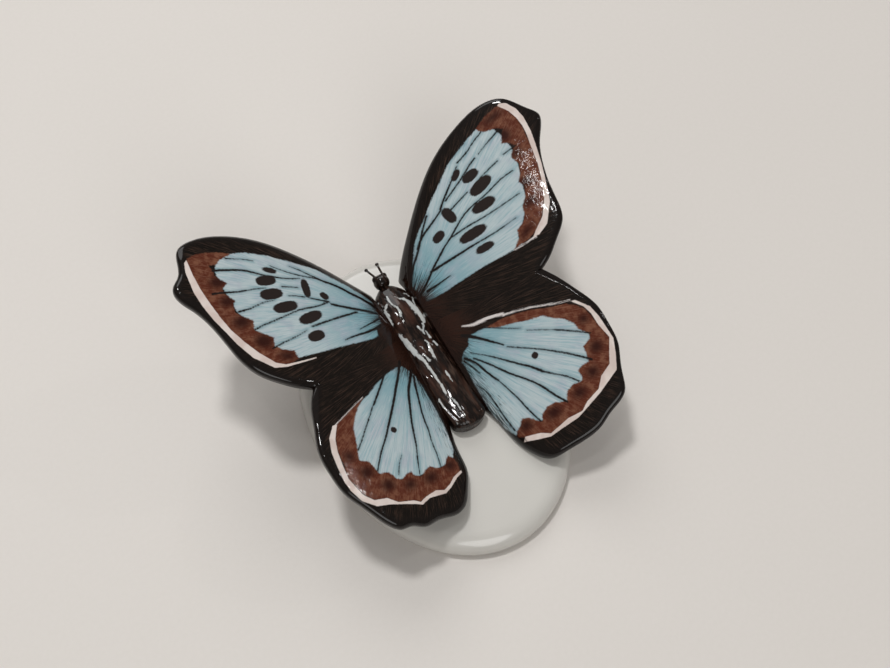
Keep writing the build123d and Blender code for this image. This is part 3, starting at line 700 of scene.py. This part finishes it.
def makeWingPaint():
    material, tree, place = newMaterial("handPaintedGlazedPorcelain")
    fan = addNode(tree, "ShaderNodeAttribute", {"attribute_name": "fan"}, {}).outputs["Vector"]
    strokes = addNode(tree, "ShaderNodeMapping", {}, {"Scale": wingPaint["strokeScale"], "Vector": fan}).outputs[0]
    drivers = makeDrivers(tree, wingPaint, {"strokes": strokes, "place": place})
    hairs, ragged = drivers["hairs"], drivers["ragged"]
    drivers["reach"] = addNode(tree, "ShaderNodeSeparateXYZ", {}, {0: fan}).outputs[1]
    drivers["furEdge"] = stray(tree, drivers["reach"], drivers["streaks"], wingPaint["furStray"])
    aside = addNode(tree, "ShaderNodeMath", times, {0: hairs, 1: wingPaint["haloStray"]}).outputs[0]
    drivers["veinHalo"] = addNode(tree, "ShaderNodeMath", plus, {0: drivers["vein"], 1: aside}).outputs[0]
    colours = {name: brushOver(tree, drivers, *area) for name, area in wingPaint["colours"].items()}

    # the blue panels stop short of the root, where the ground's fur begins
    name, wobble, along, soft = wingPaint["panel"]
    edge = stray(tree, stray(tree, drivers[name], ragged, wobble), hairs, along)
    panel = addNode(tree, "ShaderNodeMapRange", smooth, {0: edge, 1: -soft, 2: soft, 3: 1, 4: 0}).outputs[0]
    start, end = wingPaint["panelFrom"]
    clear = addNode(tree, "ShaderNodeMapRange", smooth,
                    {0: drivers["furEdge"], 1: start, 2: end, 3: 0, 4: 1}).outputs[0]
    panel = addNode(tree, "ShaderNodeMath", times, {0: panel, 1: clear}).outputs[0]
    colour = addNode(tree, "ShaderNodeMix", colourMix,
                     {0: panel, 6: colours["ground"], 7: colours["blue"]}).outputs[2]

    for name, wobble, along, soft, top in wingPaint["marks"]:
        edge = stray(tree, drivers[name], ragged, wobble)
        if along:
            edge = stray(tree, edge, hairs, along)
        layer = ("edge", -soft, soft, 1, 0, colours.get(top, top))
        colour = brushOver(tree, {"edge": edge}, colour, [layer])

    # fur by the body: reddish strokes that run out over the panels
    fromBody = addNode(tree, "ShaderNodeSeparateXYZ", {}, {0: place}).outputs[0]
    fromBody = addNode(tree, "ShaderNodeMath", minus, {0: fromBody, 1: wing["side"] * mm}).outputs[0]
    fromBody = addNode(tree, "ShaderNodeMath", {"operation": "ABSOLUTE"}, {0: fromBody}).outputs[0]
    fromBody = addNode(tree, "ShaderNodeMath", times, {0: fromBody, 1: 1 / mm}).outputs[0]
    furReach = stray(tree, fromBody, hairs, wingPaint["furHairs"])
    colour = brushOver(tree, {"fur": furReach}, colour, [("fur", *wingPaint["furBand"], colours["fur"])])

    # the glaze's own unevenness
    wobble, soft, grainHeight = wingPaint["grain"]
    edge = stray(tree, drivers["brown"], ragged, wobble)
    overBrown = addNode(tree, "ShaderNodeMapRange", smooth, {0: edge, 1: -soft, 2: soft, 3: 1, 4: 0}).outputs[0]
    grain = addNode(tree, "ShaderNodeMath", times, {0: ragged, 1: grainHeight}).outputs[0]
    grain = addNode(tree, "ShaderNodeMath", times, {0: grain, 1: overBrown}).outputs[0]
    height = addNode(tree, "ShaderNodeMath", times, {0: drivers["dabs"], 1: wingPaint["dabHeight"]}).outputs[0]
    for part in (grain, drivers["patches"]):
        height = addNode(tree, "ShaderNodeMath", plus, {0: height, 1: part}).outputs[0]
    finishMaterial(tree, wingPaint, colour, height)
    return material


wingMaterial = makeWingPaint()
for name in ("leftForewing", "rightForewing", "leftHindwing", "rightHindwing"):
    piece = wingPiece(name, wingMaterial)
    print(name, len(piece.data.polygons), "faces")

# dome and pad, slip cast porcelain dipped in clear glaze: smooth and white, a little cloudy, soft wide lamp images
domeGlaze = {
    "patterns": {
        "cloud": ("place", 0.06 / mm, 2, 0.5),          # waves of 17 mm, thicker and thinner glaze
        "wave": ("place", 0.14 / mm, 1, 0.5)},          # 7 mm, the sponged clay below it
    "colours": ("#c5c2bc", "#ceccc6"),
    "bump": {"Strength": 0.12, "Distance": 0.2 * mm},
    "surface": {"Roughness": 0.3, "Specular IOR Level": 0.4,
                "Coat Weight": 0.8, "Coat Roughness": 0.06, "Coat IOR": 1.5},
}


def makeDomeGlaze():
    material, tree, place = newMaterial("slipCastGlazedPorcelain")
    drivers = makeDrivers(tree, domeGlaze, {"place": place})
    dark, light = domeGlaze["colours"]
    colour = addNode(tree, "ShaderNodeMix", colourMix, {0: drivers["cloud"], 6: dark, 7: light}).outputs[2]
    finishMaterial(tree, domeGlaze, colour, drivers["wave"])
    return material


domeMaterial = makeDomeGlaze()
for node in ("base_dome", "mounting_pad"):
    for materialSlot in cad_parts[node].material_slots:
        materialSlot.material = domeMaterial
print("dome and pad glazed")

# body: thorax, abdomen, head and antennae
body = {
    "voxel": 0.15,          # mesh spacing, in mm
    "mergeWithin": 0.01 * mm,
    "smoothAngle": 50,
    "paintedAbove": 10.5,   # height from which strokes are painted, in mm
    "facesUp": 0.2,         # and how much the surface has to face up there
    "relief": 0.12,         # how far the thick pale strokes stand up, in mm
    "reliefFade": 0.5,
    "sunk": 0.1,            # the surface between them lies so much lower, so that nothing grows
    "lumps": 0.045,         # height of the brushed hair relief, in mm
    "hairWaves": (4.1, 1.7, 0.55, 0.8),     # turns in a mm: across, and how the hairs wind
    "tuftWaves": (0.8, 2.1, 1.3, 0.37),
    "halfWidth": 4.3, "sideFade": 0.6,      # the relief ends before the wings' seats
    "jointFrom": -9, "jointFade": 0.5, "jointFill": 0.35,
    "strokeSteps": 10,
    "pale": [               # pale blue strokes, and a few pale marks that are painted highlights of the lamp on the glaze: half widths at the ends, and points from the thorax middle
        (0.25, 0.5, [(-2.5, 1.1), (-3.4, 0.3), (-3.8, -1.5)]),
        (0.5, 0.12, [(-3.8, -1.5), (-4.2, -3.5), (-4.8, -6.2)]),
        (0.2, 0.12, [(-4.3, -1), (-4.6, -2.8), (-4.9, -4.6)]),
        (0.14, 0.36, [(0.3, 1.9), (0.9, 0.8), (1.9, 0.2)]),
        (0.36, 0.82, [(1.9, 0.2), (2.4, -1.2), (2.9, -3.2)]),
        (0.82, 0.4, [(2.9, -3.2), (3.1, -5.2), (3.1, -7)]),
        (0.12, 0.14, [(4.5, 0.5), (3.7, -1.2), (3.1, -2.6)]),
        (0.16, 0.1, [(4.7, -6.2), (4.2, -7.8)]),
        (0.1, 0.14, [(4.6, -4.5), (4.1, -5.4)]),
        (0.08, 0.2, [(-1.3, 3.1), (-1.6, 1.4), (-1.2, -0.4)]),
        (0.2, 0.26, [(-1.2, -0.4), (-1, -2), (-1.4, -3.4)]),
        (0.2, 0.6, [(-3.8, -6.4), (-3.7, -7.6), (-3.1, -9)]),
        (0.6, 0.68, [(-3.1, -9), (-2.9, -10.6), (-2.8, -12.2)]),
        (0.62, 0.3, [(-2.8, -12.2), (-2.5, -14), (-2.1, -15.4)]),
        (0.3, 0.34, [(-2.1, -15.4), (-1.9, -18), (-1.9, -21)]),
        (0.32, 0.08, [(-1.8, -21), (-1.7, -23), (-2, -26)]),
        (0.18, 0.2, [(-1.2, -14.2), (-0.9, -15.8)]),
        (0.24, 0.38, [(1.1, -12.6), (0.7, -14)]),
        (0.38, 0.08, [(0.7, -14), (0.6, -15.6), (0.6, -17.2)]),
        (0.12, 0.2, [(0.8, -11), (1.8, -12.8)]),
        (0.18, 0.14, [(2.7, -12.1), (3.5, -14.3)]),
        # painted highlights: these two pale marks stand where the lamp's glint lies on the thorax's back
        (0.3, 0.14, [(1.1, -7.7), (1.6, -9.2)]),
        (0.22, 0.1, [(2.6, -7.4), (1.7, -8.9)]),
        (0.16, 0.14, [(2.2, -9), (2.6, -10.8)]),
        (0.2, 0.12, [(3, 2), (3.6, 0.6)]),
        (0.08, 0.12, [(-3.6, 3.1), (-3.5, 1.6), (-3.1, 0.8)]),
        (0.16, 0.2, [(-0.8, -12.2), (-0.7, -13.7)]),
        # painted highlight: a pale line where the lamp's glint runs along the abdomen's ridge
        (0.1, 0.14, [(-1.3, -26.6), (-1.2, -29), (-1, -32)]),
        (0.08, 0.1, [(-4, -25), (-4, -29), (-3.4, -32.4)]),
        (0.1, 0.08, [(1, -20), (1.1, -23)])],
    "rust": [               # brown patches between them, as dabs
        (-2.6, -4.2, 2.2, 0.7, 85), (0.6, -3.6, 3, 1.1, 88), (0.2, 0.8, 2.2, 0.5, 80), (-0.8, -12, 1.6, 0.8, 85),
        (1.9, -11.5, 1.8, 0.5, 70), (0.9, -21.5, 3.2, 0.6, 88), (-3.2, -20, 4, 0.5, 88), (3.1, -27, 4, 0.4, 88)],
}


def bodyPiece(node, name, material, relief=True):
    # the node's form in a fine even mesh, with the pale strokes and the painted highlights standing up a little
    piece = bpy.data.objects.new(name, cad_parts[node].data.copy())
    scene.collection.objects.link(piece)
    mergePoints(piece, body["mergeWithin"])
    if relief:
        even = piece.modifiers.new("evenMesh", "REMESH")
        even.mode = "VOXEL"
        even.voxel_size = body["voxel"] * mm
        bpy.ops.object.modifier_apply(modifier="evenMesh")
    mesh = piece.data
    places = np.empty(len(mesh.vertices) * 3)
    mesh.vertices.foreach_get("co", places)
    places = places.reshape(-1, 3) / mm
    normals = np.empty(len(mesh.vertices) * 3)
    mesh.vertex_normals.foreach_get("vector", normals)
    normals = normals.reshape(-1, 3)
    lean = np.array(Matrix.Rotation(math.radians(-wing["lean"]), 3, "Y"))
    plan = (places - (wing["side"], wing["front"], 0)) @ lean.T
    across, along, up = plan.T
    pale = strokesField(plan[:, :2], body["pale"], body["strokeSteps"])
    rust = dabsField(plan[:, :2], body["rust"])
    above = up > body["paintedAbove"]
    if relief:
        raised = np.clip(0.5 - pale / body["reliefFade"], 0, 1)
        raised = raised * raised * (3 - 2 * raised) * body["relief"]
        wide, wind, windAlong, windAcross = body["hairWaves"]
        lumps = body["lumps"] * np.sin(wide * across + wind * np.sin(windAlong * along + windAcross * across))
        wide, far, wind, windAlong = body["tuftWaves"]
        lumps = lumps * (0.5 + 0.5 * np.sin(wide * along + far * across + wind * np.sin(windAlong * along)))
        inward = np.clip((body["halfWidth"] - np.abs(across)) / body["sideFade"], 0, 1) * above
        places = places + normals * ((raised + lumps - body["sunk"]) * inward)[:, None]
    if node == "thorax":            # slip fills the joint with the abdomen
        places[:, 1] -= body["jointFill"] * np.clip((body["jointFrom"] - along) / body["jointFade"], 0, 1)
    lowest, highest = (np.array(corner) / mm for corner in cadBox)
    places = np.clip(places, lowest, highest) * mm
    mesh.vertices.foreach_set("co", places.ravel())
    mesh.update()
    pale[~above | (normals[:, 2] < body["facesUp"]) | (not relief)] = farAway
    addFields(mesh, {"pale": pale, "rust": rust})
    bpy.ops.object.shade_smooth_by_angle(angle=math.radians(body["smoothAngle"]))
    mesh.materials.clear()
    mesh.materials.append(material)
    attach(piece, "root")
    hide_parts(node)
    return piece


# porcelain in brushed dark brown with thick pale strokes, some of them painted highlights, dipped in clear glaze:
# hair-like streaks under a wet gloss
bodyPaint = {
    "hairScale": (1, 0.22, 0.7),            # drawn out along the body
    "patterns": {
        "hairs": ("hairs", 1.5 / mm, 3, 0.6),           # 0.7 mm wide and 3 mm long, coarser than real so that it shows
        "tufts": ("hairs", 0.62 / mm, 2, 0.5),          # 1.6 mm wide and 7 mm long
        "ragged": ("place", 1.7 / mm, 2, 0.5)},         # waves of 0.6 mm, the edge of a drying brush
    "fields": ("pale", "rust"),
    "brown": ("#120a07", (
        ("hairs", 0.45, 0.72, 0, 1, "#38271f"),
        ("rust", -0.6, 0.5, 0.5, 0, "#4a2c20"),
        ("tufts", 0.58, 0.7, 0, 0.35, "#5f4c42"))),
    # colours of the pale strokes, also used for the painted highlights among them
    "strokes": ("#a5abac", "#c3c3bf"),
    "strokeEdge": (-0.09, 0.1, 1, 0),
    "hairStray": 1.5, "raggedStray": 0.45,
    "hairHeight": 0.35,
    "bump": {"Strength": 0.4, "Distance": 0.16 * mm},
    "surface": {"Roughness": 0.45, "Specular IOR Level": 0.04,
                "Coat Weight": 0.75, "Coat Roughness": 0.06, "Coat IOR": 1.45},
}


def makeBodyPaint():
    material, tree, place = newMaterial("brushedBrownGlaze")
    hairPlace = addNode(tree, "ShaderNodeMapping", {}, {"Scale": bodyPaint["hairScale"], "Vector": place}).outputs[0]
    drivers = makeDrivers(tree, bodyPaint, {"hairs": hairPlace, "place": place})
    colour = brushOver(tree, drivers, *bodyPaint["brown"])
    dark, light = bodyPaint["strokes"]
    top = addNode(tree, "ShaderNodeMix", colourMix, {0: drivers["tufts"], 6: dark, 7: light}).outputs[2]
    edge = stray(tree, drivers["pale"], drivers["hairs"], bodyPaint["hairStray"])
    edge = stray(tree, edge, drivers["ragged"], bodyPaint["raggedStray"])
    colour = brushOver(tree, {"edge": edge}, colour, [("edge", *bodyPaint["strokeEdge"], top)])
    height = addNode(tree, "ShaderNodeMath", times, {0: drivers["hairs"], 1: bodyPaint["hairHeight"]}).outputs[0]
    height = addNode(tree, "ShaderNodeMath", plus, {0: height, 1: drivers["tufts"]}).outputs[0]
    finishMaterial(tree, bodyPaint, colour, height)
    return material


bodyMaterial = makeBodyPaint()
for node in ("thorax", "abdomen", "head"):
    piece = bodyPiece(node, node + "Painted", bodyMaterial)
    print(piece.name, len(piece.data.polygons), "faces")
for node in ("left_antenna", "right_antenna"):
    bodyPiece(node, node + "Painted", bodyMaterial, relief=False)
print("body finished")
